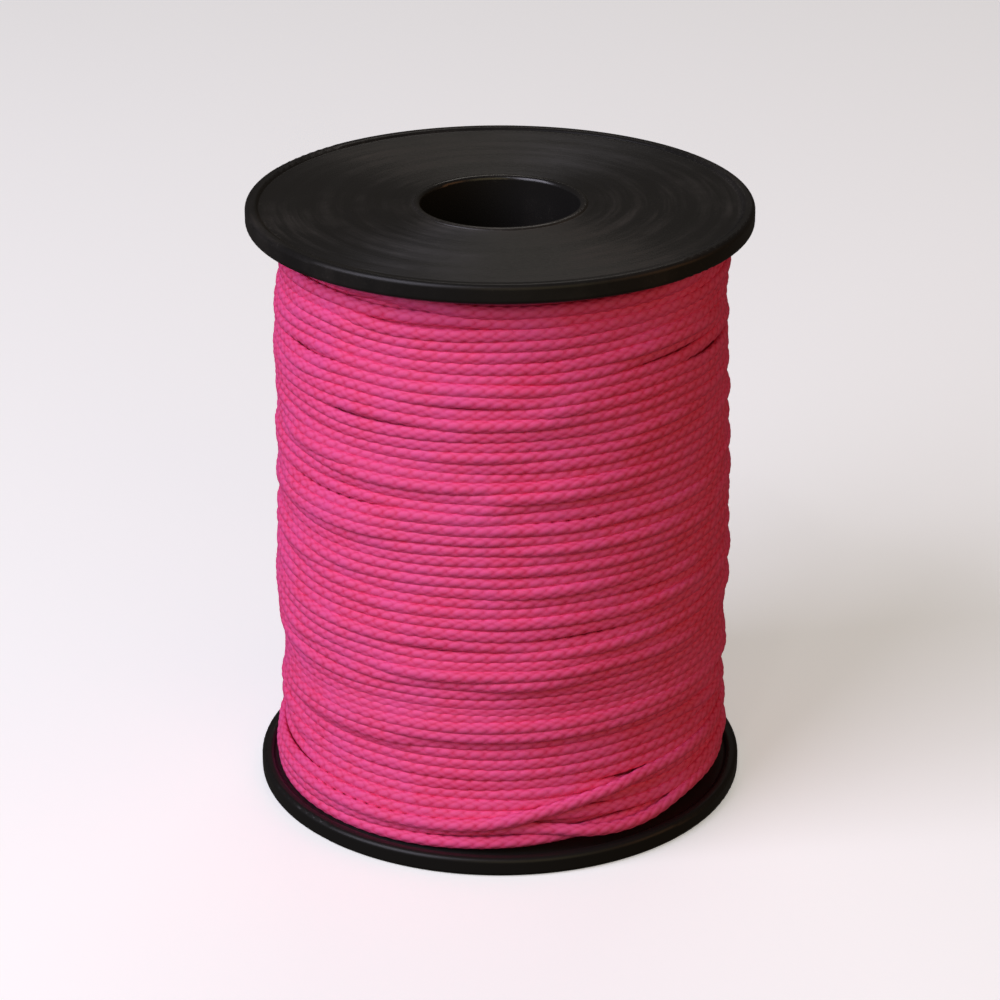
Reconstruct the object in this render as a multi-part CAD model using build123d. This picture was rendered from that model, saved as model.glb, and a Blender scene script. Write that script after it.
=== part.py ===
"""A twine spool: two identical beaded flanges plugged into a core tube, wound full of braided cord.

The spool stands on its lower flange. The origin is at the centre of the surface it stands on, and +Z runs
up along the axle bore. All sizes are in millimetres.
"""

from build123d import *
from math import degrees
import os

# --- Spool: overall sizes ---------------------------------------------------------------------------------
FLANGE_DIAMETER = 80.0
SPOOL_HEIGHT = 99.0
BORE_DIAMETER = 25.0  # takes a 25 mm axle or dispenser peg

# --- Flange: a thin web between a rounded rim bead and a small lip round the bore -------------------------
RIM_HEIGHT = 3.2
RIM_WIDTH = 2.1
RIM_EDGE_RADIUS = 0.8
WEB_THICKNESS = 1.9
WEB_RECESS = 0.5  # the web's outer face lies this far below the rim's land
WEB_BLEND_RADIUS = 0.4  # fillet where the web runs into the rim
LIP_WIDTH = 1.5
LIP_RECESS = 0.2  # the lip stands proud of the web, and stays below the rim's land
LIP_EDGE_RADIUS = 0.7

# --- Collar: the hollow plug on the back of each flange that goes inside the core tube --------------------
COLLAR_WALL = 2.0
COLLAR_LENGTH = 16.0
COLLAR_LEAD_IN = 0.8
COLLAR_CLEARANCE = 0.1  # radial gap between collar and tube
SNAP_BEAD_HEIGHT = 0.5  # ring on the collar that clicks into the tube's groove
SNAP_BEAD_WIDTH = 1.6
SNAP_BEAD_FOOT = 0.2  # the bead's section sinks this far into the collar, so that the two are one piece
SNAP_BEAD_SETBACK = 4.5  # from the collar's free end to the middle of the bead
SNAP_CLEARANCE = 0.15
KEY_COUNT = 2  # keys that stop the flange turning on the tube
KEY_WIDTH = 4.0
KEY_LENGTH = 5.0
KEY_CLEARANCE = 0.2

# --- Core tube --------------------------------------------------------------------------------------------
TUBE_WALL = 2.0

# --- Cord: one length of braid, wound in layers -----------------------------------------------------------
CORD_DIAMETER = 1.7
LAYER_GAP = 0.12  # between one layer and the next, because crossing turns hold them apart
WINDING_MARGIN = 3.0  # the least that the flanges stand out beyond the winding
CORD_FLANGE_GAP = 0.15  # between the outermost turns of each layer and the web
HUMP_COUNT = 7  # the top layer lies in soft waves along the spool
HUMP_HEIGHT = 0.35
LAST_TURN_TILT = 4.5  # degrees off level, as the last turn crosses the top layer
LAST_TURN_SWEEP = 300.0  # degrees round the spool
LAST_TURN_LIFT = 7.1  # from the lower web to the middle of the turn
LAST_TURN_START = -165.0  # degrees, measured from +X
LAST_TURN_CLEARANCE = 0.1  # between the top layer and the turn that lies over it
CORD_END_LENGTH = 9.0
CORD_TIP_LENGTH = 1.6  # the end is melted so that it doesn't fray
CORD_TIP_SWELL = 0.1  # the melted bead is this much larger in radius than the cord

# --- Values that follow from the ones above ---------------------------------------------------------------
flange_radius = FLANGE_DIAMETER / 2
bore_radius = BORE_DIAMETER / 2
web_inner_z = WEB_RECESS + WEB_THICKNESS
collar_radius = bore_radius + COLLAR_WALL
collar_end_z = web_inner_z + COLLAR_LENGTH
snap_bead_z = collar_end_z - SNAP_BEAD_SETBACK
tube_inner_radius = collar_radius + COLLAR_CLEARANCE
tube_outer_radius = tube_inner_radius + TUBE_WALL
winding_low_z = web_inner_z + CORD_FLANGE_GAP
winding_high_z = SPOOL_HEIGHT - winding_low_z
layer_spacing = CORD_DIAMETER + LAYER_GAP
layer_count = int((flange_radius - WINDING_MARGIN - tube_outer_radius) / layer_spacing)
last_turn_radius = (
    tube_outer_radius + layer_spacing * layer_count + HUMP_HEIGHT + LAST_TURN_CLEARANCE + CORD_DIAMETER / 2
)


def tube(inner_radius, outer_radius, low_z, high_z):
    """A plain hollow cylinder on the spool's axis, from low_z to high_z."""
    height = high_z - low_z
    solid = Cylinder(outer_radius, height) - Cylinder(inner_radius, height)
    return Pos(0, 0, (low_z + high_z) / 2) * solid


def block_section(inner_radius, outer_radius, low_z, high_z, corner_radius=0.0):
    """A rectangle in the half-section of a turned piece, X outwards and Y up, with rounded corners."""
    width = outer_radius - inner_radius
    height = high_z - low_z
    centre = Pos(inner_radius + width / 2, low_z + height / 2)
    if corner_radius:
        return centre * RectangleRounded(width, height, corner_radius)
    return centre * Rectangle(width, height)


def corner_at(section, height, radius):
    """The section's corner at this height that lies nearest to a radius."""
    level = section.vertices().filter_by(lambda corner: abs(corner.Y - height) < 1e-4)
    return level.sort_by(lambda corner: abs(corner.X - radius))[0]


def bulge_ring(radius, height, width, middle_z):
    """A ring with a half-lens section: it rises by height over radius, width wide along the axis."""
    low_z = middle_z - width / 2
    high_z = middle_z + width / 2
    foot_radius = radius - SNAP_BEAD_FOOT
    sides = Polyline((radius, low_z), (foot_radius, low_z), (foot_radius, high_z), (radius, high_z))
    crown = ThreePointArc((radius, high_z), (radius + height, middle_z), (radius, low_z))
    return revolve(Plane.XZ * make_face(sides + crown), Axis.Z)


def around_axis(piece, count):
    """The same piece count times, evenly spaced about the spool's axis."""
    return [Rot(0, 0, i * 360 / count) * piece for i in range(count)]


def key(low_z):
    """One key: a radial block that reaches from inside the collar's wall to the tube's outer face."""
    inner_radius = collar_radius - COLLAR_WALL / 2
    depth = tube_outer_radius - inner_radius
    block = Pos(inner_radius + depth / 2, 0, low_z + KEY_LENGTH / 2) * Box(depth, KEY_WIDTH, KEY_LENGTH)
    return block & tube(inner_radius, tube_outer_radius, low_z, low_z + KEY_LENGTH)


def flange_section():
    """The half-section of a flange with its outer face down: rim bead, web, lip and collar."""
    rim_inner_radius = flange_radius - RIM_WIDTH
    web_start_radius = bore_radius + LIP_WIDTH / 2
    web_end_radius = flange_radius - RIM_WIDTH / 2
    rim = block_section(rim_inner_radius, flange_radius, 0, RIM_HEIGHT, RIM_EDGE_RADIUS)
    web = block_section(web_start_radius, web_end_radius, WEB_RECESS, web_inner_z)
    lip = block_section(bore_radius, bore_radius + LIP_WIDTH, LIP_RECESS, web_inner_z, LIP_EDGE_RADIUS)
    collar = block_section(bore_radius, collar_radius, LIP_RECESS + LIP_EDGE_RADIUS, collar_end_z)
    section = rim + web + lip + collar
    rim_corners = [corner_at(section, z, rim_inner_radius) for z in (WEB_RECESS, web_inner_z)]
    section = fillet(rim_corners, WEB_BLEND_RADIUS)
    return chamfer(corner_at(section, collar_end_z, collar_radius), COLLAR_LEAD_IN)


def flange():
    """One flange as it stands at the bottom of the spool: outer face down, collar up."""
    body = revolve(Plane.XZ * flange_section(), Axis.Z)
    body += bulge_ring(collar_radius, SNAP_BEAD_HEIGHT, SNAP_BEAD_WIDTH, snap_bead_z)
    for one_key in around_axis(key(web_inner_z - WEB_THICKNESS / 2), KEY_COUNT):
        body += one_key
    return body


def turned_over(piece):
    """A lower-end piece moved to the top end, turned upside down."""
    return Pos(0, 0, SPOOL_HEIGHT) * Rot(180, 0, 0) * piece


def core_tube():
    """The barrel between the webs, with a snap groove and key notches at each end."""
    body = tube(tube_inner_radius, tube_outer_radius, web_inner_z, SPOOL_HEIGHT - web_inner_z)
    groove_depth = SNAP_BEAD_HEIGHT - COLLAR_CLEARANCE + SNAP_CLEARANCE
    groove_width = SNAP_BEAD_WIDTH + 2 * SNAP_CLEARANCE
    groove = bulge_ring(tube_inner_radius, groove_depth, groove_width, snap_bead_z)
    notch_length = KEY_LENGTH - WEB_THICKNESS / 2 + KEY_CLEARANCE
    notch = Box(2 * TUBE_WALL, KEY_WIDTH + 2 * KEY_CLEARANCE, notch_length)
    notch = Pos(tube_inner_radius + TUBE_WALL / 2, 0, web_inner_z + notch_length / 2) * notch
    for cut in [groove, *around_axis(notch, KEY_COUNT)]:
        body -= cut
        body -= turned_over(cut)
    return body


def inner_layer(number):
    """One hidden layer of the winding as a plain sleeve, counted outwards from 1."""
    low_radius = tube_outer_radius + layer_spacing * (number - 1)
    return tube(low_radius, low_radius + CORD_DIAMETER, winding_low_z, winding_high_z)


def top_layer():
    """The outermost layer: a sleeve whose outer face lies in soft waves along the spool."""
    low_radius = tube_outer_radius + layer_spacing * (layer_count - 1)
    trough_radius = low_radius + CORD_DIAMETER
    hump_length = (winding_high_z - winding_low_z) / HUMP_COUNT
    outline = Polyline(
        (trough_radius, winding_low_z),
        (low_radius, winding_low_z),
        (low_radius, winding_high_z),
        (trough_radius, winding_high_z),
    )
    for i in range(HUMP_COUNT):
        foot_z = winding_low_z + i * hump_length
        crest = (trough_radius + HUMP_HEIGHT, foot_z + hump_length / 2)
        outline += ThreePointArc((trough_radius, foot_z), crest, (trough_radius, foot_z + hump_length))
    return revolve(Plane.XZ * make_face(outline), Axis.Z)


def on_last_turn(angle):
    """A frame on the tilted circle that the last turn follows, angle degrees on from where it starts."""
    tilted = Pos(0, 0, web_inner_z + LAST_TURN_LIFT) * Rot(0, -LAST_TURN_TILT, 0)
    return tilted * Rot(0, 0, LAST_TURN_START + angle)


def cord_arc(start, sweep):
    """A stretch of cord on the last turn's circle, from start degrees for sweep degrees."""
    section = Plane.XZ * Pos(last_turn_radius, 0) * Circle(CORD_DIAMETER / 2)
    return on_last_turn(start) * revolve(section, Axis.Z, sweep)


def cord_end():
    """The cord's free end: the tail that lies along the winding, with its melted bead."""
    tail_sweep = degrees((CORD_END_LENGTH - CORD_TIP_LENGTH) / last_turn_radius)
    tail = cord_arc(LAST_TURN_SWEEP, tail_sweep)
    tip = Pos(last_turn_radius + CORD_TIP_SWELL / 2, 0, 0) * Sphere(CORD_DIAMETER / 2 + CORD_TIP_SWELL)
    return tail + on_last_turn(LAST_TURN_SWEEP + tail_sweep) * tip


def main():
    pieces = {
        "lower_flange": flange(),
        "upper_flange": turned_over(flange()),
        "core_tube": core_tube(),
        f"cord_layer_{layer_count:02d}": top_layer(),
        "cord_last_turn": cord_arc(0, LAST_TURN_SWEEP),
        "cord_end": cord_end(),
    }
    for number in range(1, layer_count):
        pieces[f"cord_layer_{number:02d}"] = inner_layer(number)
    os.makedirs("parts", exist_ok=True)
    for name, solid in pieces.items():
        export_step(solid, f"parts/{name}.step")


main()
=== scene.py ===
import math

import bpy
import numpy as np
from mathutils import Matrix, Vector


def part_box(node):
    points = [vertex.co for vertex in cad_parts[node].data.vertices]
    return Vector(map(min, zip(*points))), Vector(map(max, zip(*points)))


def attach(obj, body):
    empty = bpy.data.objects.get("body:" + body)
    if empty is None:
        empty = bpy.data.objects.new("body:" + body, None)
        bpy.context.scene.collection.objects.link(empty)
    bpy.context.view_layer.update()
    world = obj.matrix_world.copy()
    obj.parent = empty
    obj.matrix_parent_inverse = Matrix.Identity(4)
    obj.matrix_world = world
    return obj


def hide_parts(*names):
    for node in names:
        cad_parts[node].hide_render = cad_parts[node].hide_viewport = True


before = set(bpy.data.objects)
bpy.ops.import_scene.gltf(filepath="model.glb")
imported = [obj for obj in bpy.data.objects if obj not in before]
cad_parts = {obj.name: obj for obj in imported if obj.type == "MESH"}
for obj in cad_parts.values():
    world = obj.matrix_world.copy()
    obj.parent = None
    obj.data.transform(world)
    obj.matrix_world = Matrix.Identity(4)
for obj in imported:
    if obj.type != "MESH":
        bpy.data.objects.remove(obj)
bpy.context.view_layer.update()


# === Camera ================================================================================================
# A portrait lens on a tripod, half a metre in front of the spool and looking a little down on it, so that
# the whole spool fills the square frame and the upper flange and its bore show.
MM = 0.001
CAMERA_DISTANCE = 529.5 * MM
CAMERA_ELEVATION = math.radians(23.6)
AIM_HEIGHT = 47.5 * MM
CAMERA_LENS = 116.8  # for a 36 mm sensor

camera_data = bpy.data.cameras.new("camera")
camera_data.lens = CAMERA_LENS
camera_data.sensor_width = 36.0
camera_data.clip_start = 0.01
camera = bpy.data.objects.new("camera", camera_data)
bpy.context.scene.collection.objects.link(camera)
camera.location = (
    0,
    -CAMERA_DISTANCE * math.cos(CAMERA_ELEVATION),
    AIM_HEIGHT + CAMERA_DISTANCE * math.sin(CAMERA_ELEVATION),
)
camera.rotation_euler = (Vector((0, 0, AIM_HEIGHT)) - camera.location).to_track_quat("-Z", "Y").to_euler()
bpy.context.scene.camera = camera
bpy.context.scene.view_settings.view_transform = "Standard"


# === Floor =================================================================================================
# A flat sheet of pale matt paper that the spool stands on, lit a little from below. It is only a stage, and
# not a piece of the object.
FLOOR_SIZE = 6.0
PAPER_HEX = "f3f3f3"
PAPER_ROUGHNESS = 0.9
PAPER_GLOW = 0.4  # light from under the paper, which keeps it pale


def linear(code):
    """The linear colour of an sRGB hex code, with alpha."""
    levels = [int(code[i : i + 2], 16) / 255 for i in (0, 2, 4)]
    return [v / 12.92 if v <= 0.04045 else ((v + 0.055) / 1.055) ** 2.4 for v in levels] + [1.0]


def add_node(tree, kind, settings):
    """Adds a node. Settings go by an input's number or name, or a property's; a socket is linked."""
    node = tree.nodes.new(kind)
    for name, value in settings.items():
        if isinstance(value, bpy.types.NodeSocket):
            tree.links.new(value, node.inputs[name])
        elif isinstance(name, int) or name in node.inputs:
            node.inputs[name].default_value = value
        else:
            setattr(node, name, value)
    return node


def new_material(name):
    """An empty node material, and its tree and output."""
    material = bpy.data.materials.new(name)
    material.use_nodes = True
    tree = material.node_tree
    tree.nodes.clear()
    return material, tree, tree.nodes.new("ShaderNodeOutputMaterial")


bpy.ops.object.select_all(action="DESELECT")
bpy.ops.mesh.primitive_plane_add(size=FLOOR_SIZE, location=(0, 0, 0))
floor = bpy.context.object
floor.name = "paper_floor"
paper, tree, output = new_material("matt_paper")
shader = add_node(tree, "ShaderNodeBsdfPrincipled", {
    "Base Color": linear(PAPER_HEX),
    "Roughness": PAPER_ROUGHNESS,
    "Emission Color": linear(PAPER_HEX),
    "Emission Strength": PAPER_GLOW,
})
tree.links.new(shader.outputs[0], output.inputs[0])
floor.data.materials.append(paper)
floor.visible_glossy = False  # the plastic mirrors the dim room, and the paper only catches shadows
floor.visible_diffuse = False


# === Light =================================================================================================
# Daylight from the two panes of a window on the left in front, with a small lamp for a glint on the lip, a
# broad soft lamp in front, a warm one on the right, and one behind for the far side of the upper flange. The
# room is dim, so the right side falls into shade.
ROOM_HEX = "8a837a"
ROOM_STRENGTH = 0.19


def area_light(name, azimuth, elevation, distance, width, height, watts, colour):
    """A soft lamp aimed at the spool's middle, azimuth degrees round from the front towards the right."""
    data = bpy.data.lights.new(name, "AREA")
    data.shape = "RECTANGLE"
    data.size = width
    data.size_y = height
    data.energy = watts
    data.color = linear(colour)[:3]
    lamp = bpy.data.objects.new(name, data)
    bpy.context.scene.collection.objects.link(lamp)
    turn, lift = math.radians(azimuth), math.radians(elevation)
    aim = Vector((0, 0, AIM_HEIGHT))
    away = Vector((math.sin(turn) * math.cos(lift), -math.cos(turn) * math.cos(lift), math.sin(lift)))
    lamp.location = aim + away * distance
    lamp.rotation_euler = (-away).to_track_quat("-Z", "Y").to_euler()


# Degrees round and up, metres away, metres wide and high, and watts
area_light("window_left_pane", -68, 35, 1.1, 0.42, 0.85, 5.8, "efecff")
area_light("window_right_pane", -41, 35, 1.1, 0.42, 0.85, 5.4, "efecff")
area_light("glint_lamp", -14, 50, 1.1, 0.06, 0.06, 0.25, "ffffff")
area_light("room_lamp", 15, 20, 1.3, 1.2, 1.2, 3.6, "ffe9a8")
area_light("warm_lamp", 75, 15, 1.2, 0.8, 0.8, 1.9, "ffb070")
area_light("ceiling_lamp", 172, 52, 1.2, 0.5, 0.3, 1.1, "fff8ee")
world = bpy.data.worlds.new("room")
world.use_nodes = True
bpy.context.scene.world = world
background = world.node_tree.nodes["Background"]
background.inputs[0].default_value = linear(ROOM_HEX)
background.inputs[1].default_value = ROOM_STRENGTH


# === Flanges and core tube =================================================================================
# Black impact polystyrene, injection moulded: two like flanges that snap into the core tube. The webs come
# from a finely eroded mould face, so they are satin, with faint rings from turning the mould; the rim beads
# and the lip round the bore are polished. Handling leaves dust and fine scuffs, most of all inside the rim.
PLASTIC_HEX = "1b1a19"
PLASTIC_IOR = 1.59
DUST_HEX = "6b655f"
BEAD_START = 37.7 * MM  # radius where the rim bead begins
LIP_END = 13.9 * MM  # radius where the lip ends
EDGE_BLEND = 0.35 * MM
CORNER_DUST = 0.45 * MM  # dust gathers this near to where the web meets the rim bead, and to the lip
CORNER_DUST_SHARE = 0.8
OPEN_DUST_SHARE = 0.3
DUSTY_ABOVE = 90 * MM  # the upper flange shelters the lower one
SPECK_SIZE = 0.45 * MM
PATCH_SIZE = 18.2 * MM  # of the patches that handling has dulled or left dusty
STREAK_WIDTH = 2.6 * MM  # smears left by hands and by turning the mould
STREAKS_ROUND = 3.0
SMEAR_SHARE = 0.24  # how much of the web's colour a smear hides
GRAIN_SIZE = 0.22 * MM  # of the eroded mould face
GRAIN_DEPTH = 0.015 * MM
GRAIN_STRENGTH = 0.35
TURNED_SHEEN = 0.75  # the turning marks spread a light's glow outwards from the bore
RING_SPACING = 0.9 * MM  # of the turning marks; real ones are finer, drawn as coarse as they show
RING_DEPTH = 0.25  # against the grain's depth
WEB_ROUGHNESS = 0.08  # before patches, streaks and rings are added
PATCH_ROUGHNESS = 0.3
STREAK_ROUGHNESS = 0.4
RING_ROUGHNESS = 0.012
DUST_ROUGHNESS = 0.4
BEAD_ROUGHNESS = 0.36
LIP_ROUGHNESS = 0.26
WEB_SPECULAR = 0.38
BEAD_SPECULAR = 0.18

plastic, tree, output = new_material("black_moulded_polystyrene")
place = add_node(tree, "ShaderNodeTexCoord", {}).outputs["Object"]
xyz = add_node(tree, "ShaderNodeSeparateXYZ", {0: place})
x_squared = add_node(tree, "ShaderNodeMath", {
    "operation": "MULTIPLY",
    0: xyz.outputs[0],
    1: xyz.outputs[0],
}).outputs[0]
radius = add_node(tree, "ShaderNodeMath", {
    "operation": "SQRT",
    0: add_node(tree, "ShaderNodeMath", {
        "operation": "MULTIPLY_ADD",
        0: xyz.outputs[1],
        1: xyz.outputs[1],
        2: x_squared,
    }).outputs[0],
}).outputs[0]
on_bead = add_node(tree, "ShaderNodeMapRange", {
    "interpolation_type": "SMOOTHSTEP",
    "From Min": BEAD_START - EDGE_BLEND,
    "From Max": BEAD_START + EDGE_BLEND,
    "Value": radius,
}).outputs[0]
on_lip = add_node(tree, "ShaderNodeMapRange", {
    "interpolation_type": "SMOOTHSTEP",
    "From Min": LIP_END + EDGE_BLEND,
    "From Max": LIP_END - EDGE_BLEND,
    "Value": radius,
}).outputs[0]
polished = add_node(tree, "ShaderNodeMath", {"operation": "MAXIMUM", 0: on_bead, 1: on_lip}).outputs[0]
dulling = add_node(tree, "ShaderNodeTexNoise", {
    "Scale": 1 / PATCH_SIZE,
    "Detail": 5.0,
    "Roughness": 0.6,
    "Vector": place,
}).outputs["Fac"]
sweep = add_node(tree, "ShaderNodeVectorMath", {"operation": "NORMALIZE", 0: place}).outputs[0]
sweep = add_node(tree, "ShaderNodeSeparateXYZ", {0: sweep})
turned = add_node(tree, "ShaderNodeCombineXYZ", {
    0: add_node(tree, "ShaderNodeMath", {
        "operation": "MULTIPLY",
        0: radius,
        1: 1 / STREAK_WIDTH,
    }).outputs[0],
    1: add_node(tree, "ShaderNodeMath", {
        "operation": "MULTIPLY",
        0: sweep.outputs[0],
        1: STREAKS_ROUND,
    }).outputs[0],
    2: add_node(tree, "ShaderNodeMath", {
        "operation": "MULTIPLY",
        0: sweep.outputs[1],
        1: STREAKS_ROUND,
    }).outputs[0],
})
streaks = add_node(tree, "ShaderNodeTexNoise", {
    "Scale": 1.0,
    "Detail": 4.0,
    "Roughness": 0.7,
    "Vector": turned.outputs[0],
}).outputs["Fac"]
specks = add_node(tree, "ShaderNodeTexNoise", {
    "Scale": 1 / SPECK_SIZE,
    "Detail": 6.0,
    "Roughness": 0.75,
    "Vector": place,
}).outputs["Fac"]
specks = add_node(tree, "ShaderNodeMapRange", {
    "From Min": 0.56,
    "From Max": 0.76,
    "Value": specks,
}).outputs[0]
patches = add_node(tree, "ShaderNodeMapRange", {
    "From Min": 0.42,
    "From Max": 0.66,
    "Value": dulling,
}).outputs[0]
rim_corner = add_node(tree, "ShaderNodeMath", {
    "operation": "COMPARE",
    0: radius,
    1: BEAD_START,
    2: CORNER_DUST,
}).outputs[0]
lip_corner = add_node(tree, "ShaderNodeMath", {
    "operation": "COMPARE",
    0: radius,
    1: LIP_END,
    2: CORNER_DUST,
}).outputs[0]
corners = add_node(tree, "ShaderNodeMath", {
    "operation": "MAXIMUM",
    0: rim_corner,
    1: lip_corner,
}).outputs[0]
open_to_dust = add_node(tree, "ShaderNodeMath", {
    "operation": "GREATER_THAN",
    0: xyz.outputs[2],
    1: DUSTY_ABOVE,
}).outputs[0]
smears = add_node(tree, "ShaderNodeMapRange", {
    "From Min": 0.44,
    "From Max": 0.72,
    "Value": streaks,
}).outputs[0]
film = add_node(tree, "ShaderNodeMath", {
    "operation": "MULTIPLY",
    0: add_node(tree, "ShaderNodeMath", {"operation": "MULTIPLY", 0: smears, 1: patches}).outputs[0],
    1: SMEAR_SHARE,
}).outputs[0]
loose = add_node(tree, "ShaderNodeMath", {
    "operation": "MULTIPLY",
    0: specks,
    1: add_node(tree, "ShaderNodeMath", {
        "operation": "MULTIPLY_ADD",
        0: corners,
        1: CORNER_DUST_SHARE,
        2: OPEN_DUST_SHARE,
    }).outputs[0],
}).outputs[0]
dust = add_node(tree, "ShaderNodeMath", {
    "operation": "MULTIPLY_ADD",
    0: loose,
    1: patches,
    2: film,
}).outputs[0]
dust = add_node(tree, "ShaderNodeMath", {"operation": "MULTIPLY", 0: dust, 1: open_to_dust}).outputs[0]
colour = add_node(tree, "ShaderNodeMix", {
    "data_type": "RGBA",
    6: linear(PLASTIC_HEX),
    7: linear(DUST_HEX),
    0: dust,
}).outputs[2]
grain = add_node(tree, "ShaderNodeTexNoise", {
    "Scale": 1 / GRAIN_SIZE,
    "Detail": 2.0,
    "Roughness": 0.5,
    "Vector": place,
}).outputs["Fac"]
rings = add_node(tree, "ShaderNodeMath", {
    "operation": "SINE",
    0: add_node(tree, "ShaderNodeMath", {
        "operation": "MULTIPLY",
        0: radius,
        1: 2 * math.pi / RING_SPACING,
    }).outputs[0],
}).outputs[0]
web_rough = add_node(tree, "ShaderNodeMath", {
    "operation": "MULTIPLY_ADD",
    0: dulling,
    1: PATCH_ROUGHNESS,
    2: WEB_ROUGHNESS,
}).outputs[0]
web_rough = add_node(tree, "ShaderNodeMath", {
    "operation": "MULTIPLY_ADD",
    0: streaks,
    1: STREAK_ROUGHNESS,
    2: web_rough,
}).outputs[0]
web_rough = add_node(tree, "ShaderNodeMath", {
    "operation": "MULTIPLY_ADD",
    0: rings,
    1: RING_ROUGHNESS,
    2: web_rough,
}).outputs[0]
rough = add_node(tree, "ShaderNodeMix", {
    "data_type": "FLOAT",
    3: BEAD_ROUGHNESS,
    0: on_bead,
    2: web_rough,
}).outputs[0]
rough = add_node(tree, "ShaderNodeMix", {
    "data_type": "FLOAT",
    3: LIP_ROUGHNESS,
    0: on_lip,
    2: rough,
}).outputs[0]
specular = add_node(tree, "ShaderNodeMath", {
    "operation": "MULTIPLY_ADD",
    0: on_bead,
    1: BEAD_SPECULAR - WEB_SPECULAR,
    2: WEB_SPECULAR,
}).outputs[0]
rough = add_node(tree, "ShaderNodeMath", {
    "operation": "MULTIPLY_ADD",
    0: dust,
    1: DUST_ROUGHNESS,
    2: rough,
}).outputs[0]
matt = add_node(tree, "ShaderNodeMath", {"operation": "SUBTRACT", 0: 1.0, 1: polished}).outputs[0]
relief = add_node(tree, "ShaderNodeMath", {
    "operation": "MULTIPLY",
    0: add_node(tree, "ShaderNodeMath", {
        "operation": "MULTIPLY_ADD",
        0: rings,
        1: RING_DEPTH,
        2: grain,
    }).outputs[0],
    1: matt,
}).outputs[0]
sheen = add_node(tree, "ShaderNodeMath", {"operation": "MULTIPLY", 0: matt, 1: TURNED_SHEEN}).outputs[0]
bump = add_node(tree, "ShaderNodeBump", {
    "Strength": GRAIN_STRENGTH,
    "Distance": GRAIN_DEPTH,
    "Height": relief,
})
outwards = add_node(tree, "ShaderNodeCombineXYZ", {0: xyz.outputs[0], 1: xyz.outputs[1]})
outwards = add_node(tree, "ShaderNodeVectorMath", {
    "operation": "NORMALIZE",
    0: outwards.outputs[0],
}).outputs[0]
shader = add_node(tree, "ShaderNodeBsdfPrincipled", {
    "IOR": PLASTIC_IOR,
    "Anisotropic": sheen,
    "Base Color": colour,
    "Roughness": rough,
    "Specular IOR Level": specular,
    "Normal": bump.outputs[0],
    "Tangent": outwards,
})
tree.links.new(shader.outputs[0], output.inputs[0])
for name in ("upper_flange", "lower_flange", "core_tube"):
    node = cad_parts[name]
    node.data.materials.clear()
    node.data.materials.append(plastic)


# === Winding ===============================================================================================
# About a hundred metres of one braided polypropylene cord, wound to and fro on the core tube by a machine
# whose guide wanders a little. Each turn is laid here as the machine lays it: it sinks to the lowest place
# near where the guide drops it, is held up by the turns below, and is pulled tight over what stands proud.
CORD_DIAMETER = 1.7 * MM
CORD_RADIUS = CORD_DIAMETER / 2
STEPS = 240  # places worked out round each turn
CELL = 0.1 * MM  # the grid along the spool on which the winding's surface is kept
GUIDE_PITCH = 1.72 * MM
GUIDE_JITTER = 0.07  # how much the pitch drifts, as a share of it
GUIDE_WANDER = 0.12 * MM
GUIDE_MEMORY = 0.45  # how far one turn's wander carries on into the next
GUIDE_TILT = 0.95 * MM  # turns stand this much higher on the right, away from the flanges
TILT_FADE = 5 * MM
SIDE_STIFFNESS = 5.1  # how hard the cord resists bending sideways, against sinking
GUIDE_HOLD = 0.45  # how hard it keeps to where the guide dropped it
SHIFT_STEP = 0.08  # in millimetres, between the places that a turn tries on each side of the guide
SHIFTS = 9
JOIN_HOLD = 80  # how hard a turn starts where the last one ended
SEED = 7
FLANGE_GAP = 0.15 * MM  # between the hidden layers' ends and the webs
tube_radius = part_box("core_tube")[1][0]
winding_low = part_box("cord_layer_01")[0][2] - FLANGE_GAP
winding_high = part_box("cord_layer_01")[1][2] + FLANGE_GAP
layer_names = sorted(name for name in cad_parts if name.startswith("cord_layer"))
# How full the spool is wound, in millimetres: height above the base, radius on the left, radius on the
# right. It bulges and sags like this where the guide dwelt or hurried.
FULLNESS = [
    (2.4, 37.3, 37.2),
    (5, 37.4, 37.3),
    (9, 36.3, 37.1),
    (14, 35.6, 36.9),
    (20, 35.7, 36.9),
    (26, 36.1, 36.8),
    (31, 36.7, 37.1),
    (37, 36.8, 37.3),
    (44, 36.3, 37.0),
    (49, 35.9, 37.3),
    (55, 36.2, 37.3),
    (62, 36.1, 36.9),
    (69, 35.9, 36.5),
    (76, 36.3, 36.4),
    (83, 35.6, 36.2),
    (88, 35.2, 36.1),
    (92, 35.1, 35.6),
    (96.6, 35.0, 35.5),
]
# Turns that leave the helix: degrees round from the front, positive to the right, and height in
# millimetres. The second turn of the top layer drops away from the flange. The last four meet above the
# lower flange, where the last two cross over the others.
FIRST_TURN = [(-180, 95.6), (150, 95.6), (180, 95.2)]
DROPPED_TURN = [
    (-180, 95.2),
    (-150, 94.9),
    (-30, 94.6),
    (-24, 94.4),
    (-15, 93.3),
    (0, 93.0),
    (90, 92.7),
    (180, 92.4),
]
DIVING_TURN = [
    (-180, 10.5),
    (-80, 8.4),
    (-30, 8.7),
    (0, 9.4),
    (20, 8.7),
    (38, 8.1),
    (50, 8.3),
    (60, 8.9),
    (75, 9.5),
    (90, 9.6),
    (140, 6.5),
    (180, 5.0),
]
LOWEST_TURN = [
    (-180, 5.0),
    (-130, 3.6),
    (-80, 3.4),
    (-40, 3.6),
    (-15, 4.0),
    (0, 4.5),
    (15, 5.1),
    (30, 5.8),
    (90, 6.2),
    (180, 6.7),
]
BACK_TURN = [
    (-180, 6.7),
    (-130, 5.3),
    (-80, 5.0),
    (-20, 5.6),
    (-4, 6.8),
    (6, 7.1),
    (15, 6.5),
    (25, 5.5),
    (33, 4.9),
    (42, 5.9),
    (50, 7.0),
    (60, 7.8),
    (75, 8.1),
    (120, 8.2),
    (180, 8.4),
]
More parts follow.
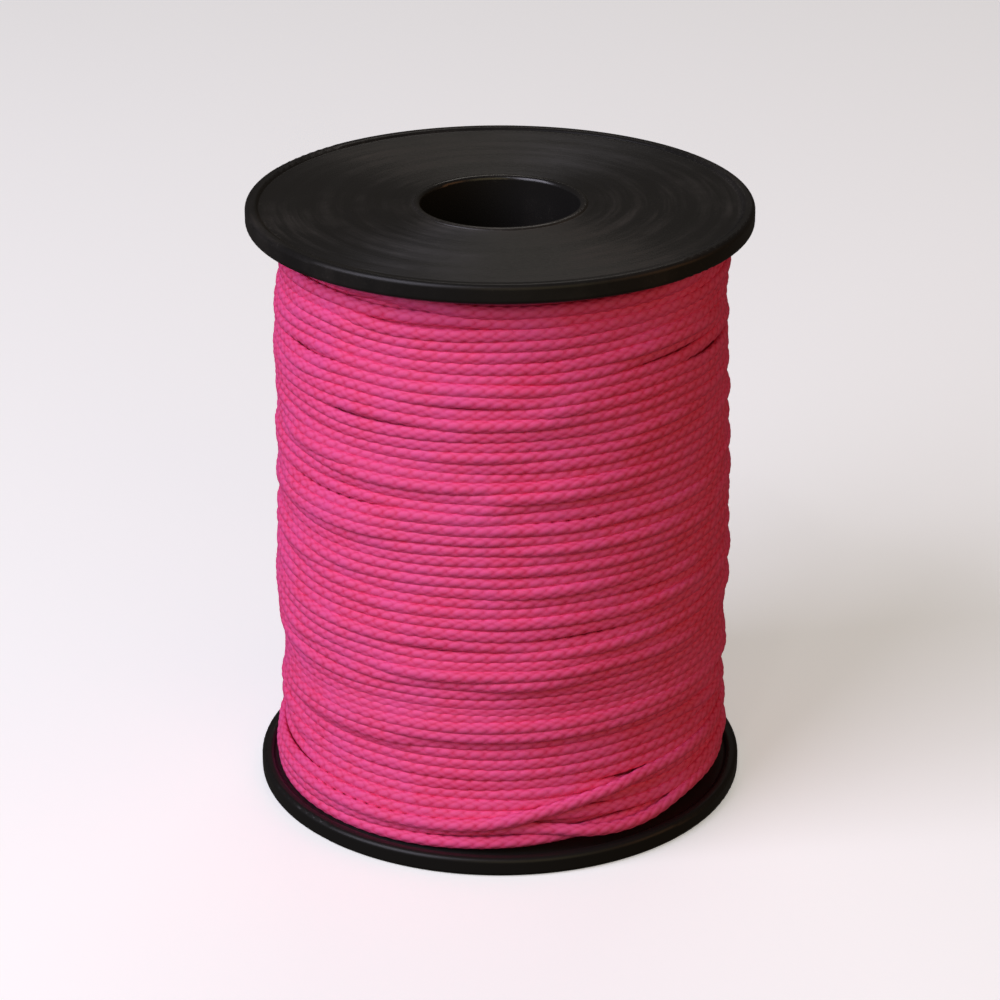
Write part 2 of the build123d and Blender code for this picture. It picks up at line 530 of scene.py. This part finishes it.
LAST_TURN = [
    (-180, 8.4),
    (-130, 7.0),
    (-80, 6.7),
    (-40, 6.7),
    (-15, 7.2),
    (0, 8.6),
    (12, 10.2),
    (23, 11.7),
    (30, 12.5),
    (38, 13.2),
    (50, 13.7),
    (80, 14.0),
    (130, 14.3),
    (180, 14.8),
]

turn_angles = (np.arange(STEPS) / STEPS - 0.5) * 2 * math.pi
grid_heights = np.arange(winding_low, winding_high + CELL / 2, CELL)
surface = np.full((STEPS, len(grid_heights)), tube_radius)
rows = np.arange(STEPS)
reach = int(CORD_RADIUS / CELL)
offsets = np.arange(-reach, reach + 1)
caps = np.sqrt(CORD_RADIUS**2 - (offsets * CELL) ** 2)


def smoothed(values, spread, closed=False):
    """Values along the first axis, softened by a bell curve that is spread samples wide."""
    size = int(3 * spread) + 1
    bell = np.exp(-0.5 * (np.arange(-size, size + 1) / spread) ** 2)
    ends = [(size, size)] + [(0, 0)] * (values.ndim - 1)
    padded = np.pad(values, ends, mode="wrap" if closed else "edge")
    return sum(w * padded[i : i + len(values)] for i, w in enumerate(bell / bell.sum()))


def cell_of(heights):
    """The grid cells that heights fall in."""
    return np.clip(np.round((heights - winding_low) / CELL).astype(int), 0, len(grid_heights) - 1)


def settled(nominal, start, hold):
    """Where one turn comes to rest: its heights, radii, and how far it ends up from the guide."""
    low, high = cell_of(np.array([nominal.min(), nominal.max()]) + np.array([-1, 1]) * 1.5 * CORD_DIAMETER)
    under = surface[:, low : high + 1]
    support = np.zeros_like(under)
    width = under.shape[1]
    for offset, cap in zip(offsets, caps):
        start_at, end_at = max(0, -offset), min(width, width - offset)
        lifted = under[:, start_at + offset : end_at + offset] + cap
        support[:, start_at:end_at] = np.maximum(support[:, start_at:end_at], lifted)
    shifts = np.arange(-SHIFTS, SHIFTS + 1) * SHIFT_STEP * MM
    heights = nominal[:, None] + shifts[None]
    heights = np.clip(heights, winding_low + CORD_RADIUS, winding_high - CORD_RADIUS)
    at = (heights - grid_heights[low]) / CELL
    cell = np.clip(at.astype(int), 0, width - 2)
    part = at - cell
    level = support[rows[:, None], cell] * (1 - part) + support[rows[:, None], cell + 1] * part
    cost = level / CORD_DIAMETER + hold * (shifts[None] / CORD_DIAMETER) ** 2
    turning = SIDE_STIFFNESS * ((shifts[:, None] - shifts[None]) / CORD_DIAMETER) ** 2
    total = JOIN_HOLD * ((shifts - start) / CORD_DIAMETER) ** 2
    came_from = np.zeros((STEPS, len(shifts)), int)
    for i in range(STEPS):
        ways = total[None] + turning
        came_from[i] = ways.argmin(1)
        total = ways.min(1) + cost[i]
    pick = np.zeros(STEPS, int)
    best = int(total.argmin())
    for i in reversed(range(STEPS)):
        pick[i] = best
        best = came_from[i, best]
    return heights[rows, pick], level[rows, pick], shifts[pick[-1]]


def pulled_tight(radii):
    """Radii of a turn under tension: it spans the hollows between what stands proud."""
    for step in (8, 4, 2, 1) * 2:
        span = (np.roll(radii, step) + np.roll(radii, -step)) / 2 * math.cos(step * 2 * math.pi / STEPS)
        radii = np.maximum(radii, span)
    return radii


def lay(heights, radii):
    """Adds a turn's outer face to the winding's surface."""
    for offset in offsets:
        cell = np.clip(cell_of(heights) + offset, 0, len(grid_heights) - 1)
        side = grid_heights[cell] - heights
        top = radii + np.sqrt(np.maximum(CORD_RADIUS**2 - side**2, 0))
        surface[rows, cell] = np.maximum(surface[rows, cell], top)


def full_radius(share):
    """The winding's outer radius round the turn and along the spool, when it is full to this share."""
    height, left, right = np.array(FULLNESS).T * MM
    left = smoothed(np.interp(grid_heights, height, left), 12)
    right = smoothed(np.interp(grid_heights, height, right), 12)
    rightness = 0.5 + 0.5 * np.sin(turn_angles)[:, None]
    return tube_radius + (left + (right - left) * rightness - tube_radius) * share


def guide_paths(start, end, random):
    """The guide's height over each turn of a layer, one array for each turn."""
    count = round(abs(end - start) / GUIDE_PITCH)
    drift, drifts = 0.0, []
    for _ in range(count):
        drift = 0.6 * drift + GUIDE_JITTER * random.normal()
        drifts.append(1 + drift)
    climbs = (end - start) * np.array(drifts) / sum(drifts)
    low, high = winding_low + CORD_RADIUS, winding_high - CORD_RADIUS
    along = np.arange(STEPS) / STEPS
    sway = np.zeros(STEPS)
    height = start
    paths = []
    for climb in climbs:
        sizes = GUIDE_WANDER * random.normal(size=8)
        next_sway = GUIDE_MEMORY * sway
        for i in range(4):
            next_sway = next_sway + sizes[2 * i] * np.cos((i + 1) * turn_angles)
            next_sway = next_sway + sizes[2 * i + 1] * np.sin((i + 1) * turn_angles)
        path = height + climb * along + sway * (1 - along) + next_sway * along
        room = min(1, (height - low) / TILT_FADE, (high - height) / TILT_FADE)
        path = path + max(room, 0) * GUIDE_TILT * np.sin(turn_angles)
        paths.append(np.clip(path, low, high))
        height += climb
        sway = next_sway
    return paths


def route_heights(route):
    """A listed turn's height at each place round it."""
    degrees, heights = np.array(route).T
    return smoothed(np.interp(np.degrees(turn_angles), degrees, heights * MM), 3)


def wind_turns(paths, holds, most_proud):
    """Lays turns on the surface, and beds each one down to how full the spool is at that stage."""
    before = surface.copy()
    turns = []
    shift = 0.0
    for path, hold in zip(paths, holds):
        heights, radii, shift = settled(path, shift, hold)
        heights = smoothed(heights, 2)
        radii = smoothed(pulled_tight(radii), 1.5)
        lay(heights, radii)
        turns.append([heights, radii])
    if most_proud is None:
        return turns
    goal = full_radius((len(layers) + 1) / len(layer_names))
    fix = goal - smoothed(smoothed(surface, 8, True).T, 22).T
    centre = goal - BED_DEPTH
    surface[:] = before
    for turn in turns:
        cell = cell_of(turn[0])
        middle = centre[rows, cell]
        proud = turn[1] + fix[rows, cell] - BED_LIFT - middle
        turn[1] = smoothed(middle + most_proud * np.tanh(proud / most_proud), 1.5)
        lay(*turn)
    return turns


BED_DEPTH = 0.62 * MM  # from the winding's mean outer face in to the middle of its turns
BED_LIFT = 0.25 * MM
INNER_PROUD = 0.35 * MM  # the most that a turn stands above or below its neighbours, once pulled tight
OUTER_PROUD = 0.6 * MM
BY_HAND = 6.0  # how hard the turns with listed routes keep to them
SAG_ANGLE = 50  # where the diving turn leaves room under the turns above it, which sag into that room
SAG_WIDTH = 42
SAGS = [1.9 * MM, 1.6 * MM, 1.2 * MM, 0.8 * MM, 0.4 * MM]
SINK = 0.9 * MM  # the two turns that cross over others settle between them again, past this angle
SINK_FROM = 42
SINK_OVER = 30
JOIN = 26  # places over which one turn runs into the next, at the back
join_ramp = 0.5 * np.cos(np.clip(np.arange(STEPS) / JOIN, 0, 1) * math.pi / 2) ** 2
random = np.random.default_rng(SEED)
layers = []
lowest, highest = winding_low + CORD_RADIUS, winding_high - CORD_RADIUS
for layer in range(len(layer_names) - 1):
    ends = (lowest, highest) if layer % 2 else (highest, lowest)
    paths = guide_paths(*ends, random)
    layers.append(wind_turns(paths, [GUIDE_HOLD] * len(paths), INNER_PROUD))
paths = guide_paths(DROPPED_TURN[-1][1] * MM, DIVING_TURN[0][1] * MM, random)
room_left = np.exp(-(((np.degrees(turn_angles) - SAG_ANGLE) / SAG_WIDTH) ** 2))
for path, sag in zip(reversed(paths), SAGS):
    path -= sag * room_left
holds = [BY_HAND] * 2 + [GUIDE_HOLD] * len(paths) + [BY_HAND]
paths = [route_heights(FIRST_TURN), route_heights(DROPPED_TURN), *paths, route_heights(DIVING_TURN)]
top_turns = wind_turns(paths, holds, OUTER_PROUD)
paths = [route_heights(route) for route in (LOWEST_TURN, BACK_TURN, LAST_TURN)]
by_hand = wind_turns(paths, [BY_HAND] * 3, None)
sink = SINK * np.clip((np.degrees(turn_angles) - SINK_FROM) / SINK_OVER, 0, 1)
for turn in by_hand[1:]:
    turn[1] -= smoothed(sink, 4)
top_turns += by_hand
layers.append(top_turns)
for turns in layers:
    for turn, next_turn in zip(turns, turns[1:]):
        for values, next_values in zip(turn, next_turn):
            step = next_values[0] - values[-1]
            values[::-1] += step * join_ramp
            next_values -= step * join_ramp
cord_length = sum(float(2 * math.pi * turn[1].mean()) for turns in layers for turn in turns)
print("cord on the spool, metres:", round(cord_length, 1))
print("turns:", sum(len(turns) for turns in layers))


# === Cord finish ===========================================================================================
# Eight-carrier braid of polypropylene filament, dyed a bright pink all through. Each strand is a flat bundle
# of fine filaments that goes over one and under the next, so the eye sees rows of slanted grains, matt and
# even in light. The grooves between them are darkened with painted shade. Some lengths are deeper or paler
# in dye, and a painted lilac sheen, for the bluish window light that the braid reflects, lies on a few of
# them.
PINK_HEX = "fc5c98"
# Painted shade: the darker colour given to the braid's grooves, where shade falls; the melted tip's blotches
# use it too
GROOVE_HEX = "e02c60"
LILAC_HEX = "dc58b4"  # painted sheen: a bluish tint for the window light reflected on some lengths of cord
LILAC_SHARE = 0.22
BATCH_SIZE = 6.25 * MM  # of the patches where the dye is deeper or paler, and where the painted lilac sheen lies
BATCH_SHADE = 0.7
FILAMENT_SHADE = 0.5
# Painted shade: below GROOVE_LEVEL a strand takes the darker groove colour, and above CROWN_LEVEL the full
# pink
GROOVE_LEVEL = 0.03  # height on a strand, in millimetres, below which the colour is the groove's
CROWN_LEVEL = 0.17  # and above which it is the crown's
FIBRE_IOR = 1.49
FIBRE_ROUGHNESS = 0.6
FIBRE_SPECULAR = 0.2
GLOW_SHARE = 0.15  # light that goes into the fibre and comes out near by
GLOW_DEPTH = 0.2 * MM
BRAID_LAY = 9.6 * MM  # length in which a strand goes once round the cord
CARRIERS = 4  # strands each way round
STRAND_DEPTH = 0.11 * MM  # how far a strand's crown stands above its edges
STRAND_EDGE = 0.8  # how much of that a flat strand has lost by its edges
WEAVE_DEPTH = 0.05 * MM  # how far a strand rises over a crossing, and dips under the next
STRAND_LEAD = 0.04 * MM  # the strands one way round are tighter, and stand this much above the others
FILAMENTS = 5.0  # filaments drawn across a strand; real ones are finer, drawn as coarse as they show
FILAMENT_STRETCH = 0.1  # how slowly they change along the strand, against across it
FILAMENT_DEPTH = 0.05  # in millimetres
BUMP_STRENGTH = 0.4


def braid_relief(lays, round_cord):
    """How high the braid's surface stands, at lays along and a share of the way round."""
    one = CARRIERS * (round_cord + lays)
    other = CARRIERS * (round_cord - lays)
    over = 1 - 2 * ((np.floor(one) + np.floor(other)) % 2)
    one, other = one % 1, other % 1
    one_crown = STRAND_DEPTH * (1 - STRAND_EDGE * (2 * one - 1) ** 2) + STRAND_LEAD
    other_crown = STRAND_DEPTH * (1 - STRAND_EDGE * (2 * other - 1) ** 2)
    wave = WEAVE_DEPTH * over
    return np.maximum(one_crown + wave * np.sin(math.pi * other), other_crown - wave * np.sin(math.pi * one))


braid, tree, output = new_material("pink_braided_polypropylene")
lay_map = add_node(tree, "ShaderNodeUVMap", {"uv_map": "braid"}).outputs[0]
uv = add_node(tree, "ShaderNodeSeparateXYZ", {0: lay_map})
one = add_node(tree, "ShaderNodeMath", {
    "operation": "MULTIPLY",
    0: add_node(tree, "ShaderNodeMath", {
        "operation": "ADD",
        0: uv.outputs[1],
        1: uv.outputs[0],
    }).outputs[0],
    1: float(CARRIERS),
}).outputs[0]
other = add_node(tree, "ShaderNodeMath", {
    "operation": "MULTIPLY",
    0: add_node(tree, "ShaderNodeMath", {
        "operation": "SUBTRACT",
        0: uv.outputs[1],
        1: uv.outputs[0],
    }).outputs[0],
    1: float(CARRIERS),
}).outputs[0]
cells = add_node(tree, "ShaderNodeMath", {
    "operation": "ADD",
    0: add_node(tree, "ShaderNodeMath", {"operation": "FLOOR", 0: one}).outputs[0],
    1: add_node(tree, "ShaderNodeMath", {"operation": "FLOOR", 0: other}).outputs[0],
}).outputs[0]
parity = add_node(tree, "ShaderNodeMath", {"operation": "PINGPONG", 0: cells, 1: 1.0}).outputs[0]
over = add_node(tree, "ShaderNodeMath", {
    "operation": "MULTIPLY_ADD",
    0: parity,
    1: -2.0,
    2: 1.0,
}).outputs[0]


def strand_height(tree, across, along, over):
    """A strand's height as it goes over and under, as braid_relief works it out, in millimetres."""
    left = add_node(tree, "ShaderNodeMath", {"operation": "FRACT", 0: across}).outputs[0]
    edge = add_node(tree, "ShaderNodeMath", {
        "operation": "MULTIPLY_ADD",
        0: left,
        1: 2.0,
        2: -1.0,
    }).outputs[0]
    edge = add_node(tree, "ShaderNodeMath", {"operation": "MULTIPLY", 0: edge, 1: edge}).outputs[0]
    crown = add_node(tree, "ShaderNodeMath", {
        "operation": "MULTIPLY_ADD",
        0: edge,
        1: -STRAND_EDGE * STRAND_DEPTH / MM,
        2: STRAND_DEPTH / MM,
    }).outputs[0]
    wave = add_node(tree, "ShaderNodeMath", {
        "operation": "SINE",
        0: add_node(tree, "ShaderNodeMath", {
            "operation": "MULTIPLY",
            0: add_node(tree, "ShaderNodeMath", {"operation": "FRACT", 0: along}).outputs[0],
            1: math.pi,
        }).outputs[0],
    }).outputs[0]
    wave = add_node(tree, "ShaderNodeMath", {
        "operation": "MULTIPLY",
        0: add_node(tree, "ShaderNodeMath", {
            "operation": "MULTIPLY",
            0: wave,
            1: WEAVE_DEPTH / MM,
        }).outputs[0],
        1: over,
    }).outputs[0]
    return add_node(tree, "ShaderNodeMath", {"operation": "ADD", 0: crown, 1: wave}).outputs[0]


one_height = add_node(tree, "ShaderNodeMath", {
    "operation": "ADD",
    0: strand_height(tree, one, other, over),
    1: STRAND_LEAD / MM,
}).outputs[0]
other_height = strand_height(
    tree,
    other,
    one,
    add_node(tree, "ShaderNodeMath", {"operation": "MULTIPLY", 0: over, 1: -1.0}).outputs[0],
)
strand = add_node(tree, "ShaderNodeMath", {
    "operation": "MAXIMUM",
    0: one_height,
    1: other_height,
}).outputs[0]
one_on_top = add_node(tree, "ShaderNodeMath", {
    "operation": "GREATER_THAN",
    0: one_height,
    1: other_height,
}).outputs[0]
across = add_node(tree, "ShaderNodeMix", {"data_type": "FLOAT", 0: one_on_top, 2: other, 3: one}).outputs[0]
along = add_node(tree, "ShaderNodeMix", {"data_type": "FLOAT", 0: one_on_top, 2: one, 3: other}).outputs[0]
filament_vector = add_node(tree, "ShaderNodeCombineXYZ", {
    0: across,
    1: add_node(tree, "ShaderNodeMath", {
        "operation": "MULTIPLY",
        0: along,
        1: FILAMENT_STRETCH,
    }).outputs[0],
    2: one_on_top,
})
filaments = add_node(tree, "ShaderNodeTexNoise", {
    "Scale": FILAMENTS,
    "Detail": 3.0,
    "Roughness": 0.65,
    "Vector": filament_vector.outputs[0],
}).outputs["Fac"]
place = add_node(tree, "ShaderNodeTexCoord", {}).outputs["Object"]
dye_and_sheen_patches = add_node(tree, "ShaderNodeTexNoise", {
    "Scale": 1 / BATCH_SIZE,
    "Detail": 3.0,
    "Vector": place,
}).outputs["Fac"]
# Painted shade: the lower a strand's surface lies, the more it takes the darker groove colour, for the shade
# in the grooves
depth = add_node(tree, "ShaderNodeMapRange", {
    "From Min": GROOVE_LEVEL,
    "From Max": CROWN_LEVEL,
    "Value": strand,
}).outputs[0]
shade = add_node(tree, "ShaderNodeMath", {
    "operation": "MULTIPLY_ADD",
    0: add_node(tree, "ShaderNodeMath", {"operation": "SUBTRACT", 0: filaments, 1: 0.5}).outputs[0],
    1: FILAMENT_SHADE,
    2: depth,
}).outputs[0]
shade = add_node(tree, "ShaderNodeMath", {
    "operation": "MULTIPLY_ADD",
    0: add_node(tree, "ShaderNodeMath", {"operation": "SUBTRACT", 0: dye_and_sheen_patches, 1: 0.5}).outputs[0],
    1: BATCH_SHADE,
    2: shade,
}).outputs[0]
colour = add_node(tree, "ShaderNodeMix", {
    "data_type": "RGBA",
    6: linear(GROOVE_HEX),
    7: linear(PINK_HEX),
    0: shade,
}).outputs[2]
# Painted sheen: the lilac tint on some lengths stands in for the bluish window light that the braid
# reflects, and is not in the dye
painted_lilac_sheen = add_node(tree, "ShaderNodeMapRange", {
    "From Min": 0.4,
    "From Max": 0.75,
    "Value": dye_and_sheen_patches,
}).outputs[0]
painted_lilac_sheen = add_node(tree, "ShaderNodeMath", {"operation": "MULTIPLY", 0: painted_lilac_sheen, 1: LILAC_SHARE}).outputs[0]
colour = add_node(tree, "ShaderNodeMix", {
    "data_type": "RGBA",
    7: linear(LILAC_HEX),
    0: painted_lilac_sheen,
    6: colour,
}).outputs[2]
height = add_node(tree, "ShaderNodeMath", {
    "operation": "MULTIPLY_ADD",
    0: filaments,
    1: FILAMENT_DEPTH,
    2: strand,
}).outputs[0]
bump = add_node(tree, "ShaderNodeBump", {
    "Strength": BUMP_STRENGTH,
    "Distance": MM,
    "Height": height,
})
shader = add_node(tree, "ShaderNodeBsdfPrincipled", {
    "Roughness": FIBRE_ROUGHNESS,
    "IOR": FIBRE_IOR,
    "Specular IOR Level": FIBRE_SPECULAR,
    "Subsurface Weight": GLOW_SHARE,
    "Subsurface Radius": (1.0, 0.6, 0.7),
    "Subsurface Scale": GLOW_DEPTH,
    "Base Color": colour,
    "Normal": bump.outputs[0],
})
tree.links.new(shader.outputs[0], output.inputs[0])


# === Turns of cord =========================================================================================
# The same cord, drawn in stretches. The top layer shows every grain of the braid. The layer under it is seen
# only through gaps, and the hidden layers are plain round cord. A stretch meets the next end to end.
SLOW_ROLL = 0.35  # turns that the cord rolls over, each way, as it comes off the coil it was made on
SLOW_ROLL_LENGTH = 344.44 * MM  # of cord for one radian of the roll
QUICK_ROLL = 0.2
QUICK_ROLL_LENGTH = 83 * MM
SLOW_SWELL = 0.02  # how much thicker and thinner the cord is along its length, as a share
SLOW_SWELL_LENGTH = 21 * MM
QUICK_SWELL = 0.015
QUICK_SWELL_LENGTH = 7.7 * MM
WIDENED = 1.17  # the cord's width against its diameter, squeezed by its own tension
FLATTENED = 0.88
TAIL_SHORT = 8  # places left off the last turn, where the free end lies
MEAN_RADIUS = 36 * MM  # of the top layer, for the length that has gone before a stretch
SEEN_SHARE = 0.31  # of the way round the cord, each way from its outermost line
HIDDEN_SHARES = (0.405, 0.5, 0.595)
TOP_BANDS = 9  # stretches that the top layer is drawn in
TOP_STEP = 0.3 * MM  # between rings of the mesh
UNDER_STEP = 1.2 * MM
INNER_STEP = 5.0 * MM
END_MARGIN = 0.002  # left free on the bake map at the ends and sides of a strip
SIDE_MARGIN = 0.04


def stretch(name, turns, first_turn, ring_step, sides, relief, sharing, node):
    """Makes a closed tube of cord along some turns. Sharing is how many strips the bake map has."""
    heights = np.concatenate([turn[0] for turn in turns])
    radii = np.concatenate([turn[1] for turn in turns])
    angle = -math.pi + 2 * math.pi * np.arange(len(heights) + 1) / STEPS
    heights = smoothed(np.append(heights, heights[-1]), 1.5)
    radii = smoothed(np.append(radii, radii[-1]), 1.5)
    points = np.stack([radii * np.sin(angle), -radii * np.cos(angle), heights], 1)
    run = np.append(0, np.cumsum(np.linalg.norm(np.diff(points, axis=0), axis=1)))
    rings = max(int(run[-1] / ring_step), 8)
    at = np.linspace(0, run[-1], rings + 1)
    angle, heights, radii = (np.interp(at, run, v) for v in (angle, heights, radii))
    points = np.stack([radii * np.sin(angle), -radii * np.cos(angle), heights], 1)
    ahead = np.gradient(points, axis=0)
    ahead /= np.linalg.norm(ahead, axis=1)[:, None]
    out = np.stack([np.sin(angle), -np.cos(angle), np.zeros_like(angle)], 1)
    out -= ahead * (out * ahead).sum(1)[:, None]
    out /= np.linalg.norm(out, axis=1)[:, None]
    side = np.cross(ahead, out)
    start = first_turn * 2 * math.pi * MEAN_RADIUS
    lays = (at + start) / BRAID_LAY
    roll = SLOW_ROLL * np.sin((at + start) / SLOW_ROLL_LENGTH)
    roll += QUICK_ROLL * np.sin((at + start) / QUICK_ROLL_LENGTH)
    share = np.arange(sides) / sides
    if relief:  # the side that faces the core tube is never seen, and takes few faces
        share = np.append(np.linspace(-SEEN_SHARE, SEEN_SHARE, sides - 3), HIDDEN_SHARES)
    around = share[None] * 2 * math.pi
    swell = SLOW_SWELL * np.sin(at / SLOW_SWELL_LENGTH + 1.3) + QUICK_SWELL * np.sin(at / QUICK_SWELL_LENGTH)
    thick = CORD_RADIUS * (1 + swell)[:, None]
    if relief:
        stands = braid_relief(lays[:, None], share[None] + roll[:, None])
        thick = thick + stands - STRAND_DEPTH
    ring = points[:, None] + out[:, None] * (thick * np.cos(around) * FLATTENED)[..., None]
    ring = ring + side[:, None] * (thick * np.sin(around) * WIDENED)[..., None]
    vertices = np.concatenate([ring.reshape(-1, 3), points[:1], points[-1:]])
    ring_start = (np.arange(rings) * sides)[:, None]
    here, there = np.arange(sides)[None], (np.arange(sides) + 1)[None] % sides
    near, far = ring_start + here, ring_start + there
    quads = np.stack(np.broadcast_arrays(near, far, far + sides, near + sides), -1).reshape(-1, 4)
    last = rings * sides
    tip = len(vertices) - 2
    fans = [(tip, int(j), int(i)) for i, j in zip(here[0], there[0])]
    fans += [(tip + 1, int(last + i), int(last + j)) for i, j in zip(here[0], there[0])]
    corners = np.concatenate([quads.ravel(), np.array(fans).ravel()])
    sizes = np.concatenate([np.full(len(quads), 4), np.full(len(fans), 3)])
    mesh = bpy.data.meshes.new(name)
    mesh.vertices.add(len(vertices))
    mesh.vertices.foreach_set("co", vertices.ravel())
    mesh.loops.add(len(corners))
    mesh.loops.foreach_set("vertex_index", corners)
    mesh.polygons.add(len(sizes))
    mesh.polygons.foreach_set("loop_start", np.append(0, np.cumsum(sizes)[:-1]))
    mesh.update(calc_edges=True)
    # Two maps: the braid's own, and strips side by side for the bake
    ring_of = np.repeat(np.arange(rings), sides)
    side_of = np.tile(np.arange(sides), rings)
    u = np.stack([ring_of, ring_of, ring_of + 1, ring_of + 1], 1)
    edges = np.append(share, share[0] + 1)
    v = edges[np.stack([side_of, side_of + 1, side_of + 1, side_of], 1)]
    braid_map = np.stack([lays[u], v + roll[u]], -1).reshape(-1, 2)
    strip = np.minimum(ring_of * sharing // rings, sharing - 1)[:, None]
    strip_rings = rings / sharing
    bake_u = END_MARGIN + (1 - 2 * END_MARGIN) * np.clip(u / strip_rings - strip, 0, 1)
    bake_v = (strip + SIDE_MARGIN + (1 - 2 * SIDE_MARGIN) * (v - share[0])) / sharing
    bake_map = np.stack([bake_u, bake_v], -1).reshape(-1, 2)
    cap_map = np.tile([[lays[0], 0.0], [lays[0], 0.1], [lays[0] + 0.05, 0.0]], (2 * sides, 1))
    cap_bake = np.tile([[0.0, 0.0], [0.001, 0.0], [0.0, 0.001]], (2 * sides, 1))
    for map_name, values, ends in (("braid", braid_map, cap_map), ("OFBake", bake_map, cap_bake)):
        uv_layer = mesh.uv_layers.new(name=map_name)
        uv_layer.uv.foreach_set("vector", np.concatenate([values, ends]).ravel())
    mesh.polygons.foreach_set("use_smooth", np.ones(len(sizes), bool))
    mesh.materials.append(braid)
    mesh.validate()
    piece = bpy.data.objects.new(name, mesh)
    bpy.context.scene.collection.objects.link(piece)
    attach(piece, "root")
    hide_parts(node)


turn_count = 0
for layer, (node, turns) in enumerate(zip(layer_names, layers)):
    if layer == len(layers) - 1:
        last_turn = turns.pop()
        cuts = [round(i * len(turns) / TOP_BANDS) for i in range(TOP_BANDS + 1)]
        for band in range(TOP_BANDS):
            part = turns[cuts[band] : cuts[band + 1]]
            stretch(f"top_turns_{band + 1}", part, turn_count + cuts[band], TOP_STEP, 16, True, 16, node)
    elif layer == len(layers) - 2:
        stretch("under_turns", turns, turn_count, UNDER_STEP, 8, False, 24, node)
    else:
        stretch(f"inner_turns_{layer + 1:02d}", turns, turn_count, INNER_STEP, 5, False, 24, node)
    turn_count += len(turns)
last_turn = [values[:-TAIL_SHORT] for values in last_turn]
stretch("last_turn", [last_turn], turn_count, TOP_STEP, 16, True, 4, "cord_last_turn")


# === Melted tip ============================================================================================
# The cord's free end, at the back. The strands were melted together with a flame so that they don't fray,
# which leaves a small, hard, slightly lumpy bead, darker and glossier than the braid.
TIP_SWELL = 0.12 * MM
TIP_SHAPE = (1.35, 1.0, 0.96)  # along the cord, in and out, and along the spool
TIP_LUMPS = 0.14 * MM
LUMP_SIZE = 1.1 * MM
MELTED_HEX = "b51f5c"

end_angle = turn_angles[len(last_turn[0]) - 1]
end_height, end_radius = float(last_turn[0][-1]), float(last_turn[1][-1])
bpy.ops.object.select_all(action="DESELECT")
bpy.ops.mesh.primitive_uv_sphere_add(segments=32, ring_count=20, radius=CORD_RADIUS + TIP_SWELL)
tip = bpy.context.object
tip.name = "melted_tip"
tip.scale = TIP_SHAPE
bpy.ops.object.transform_apply(location=False, rotation=False, scale=True)
lumps = bpy.data.textures.new("lumps", "CLOUDS")
lumps.noise_scale = LUMP_SIZE
modifier = tip.modifiers.new("lumps", "DISPLACE")
modifier.texture = lumps
modifier.texture_coords = "LOCAL"
modifier.strength = TIP_LUMPS
bpy.ops.object.modifier_apply(modifier="lumps")
tip.rotation_euler = (0, 0, end_angle)
tip.location = (end_radius * math.sin(end_angle), -end_radius * math.cos(end_angle), end_height)
bpy.ops.object.transform_apply(location=True, rotation=True, scale=True)
bpy.ops.object.shade_smooth()
melted, tree, output = new_material("melted_polypropylene")
place = add_node(tree, "ShaderNodeTexCoord", {}).outputs["Object"]
blotches = add_node(tree, "ShaderNodeTexNoise", {
    "Scale": 1 / LUMP_SIZE,
    "Detail": 3.0,
    "Vector": place,
}).outputs["Fac"]
colour = add_node(tree, "ShaderNodeMix", {
    "data_type": "RGBA",
    6: linear(MELTED_HEX),
    7: linear(GROOVE_HEX),
    0: blotches,
}).outputs[2]
rough = add_node(tree, "ShaderNodeMath", {
    "operation": "MULTIPLY_ADD",
    0: blotches,
    1: 0.2,
    2: 0.15,
}).outputs[0]
shader = add_node(tree, "ShaderNodeBsdfPrincipled", {
    "IOR": 1.49,
    "Base Color": colour,
    "Roughness": rough,
})
tree.links.new(shader.outputs[0], output.inputs[0])
tip.data.materials.clear()
tip.data.materials.append(melted)
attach(tip, "root")
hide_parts("cord_end")
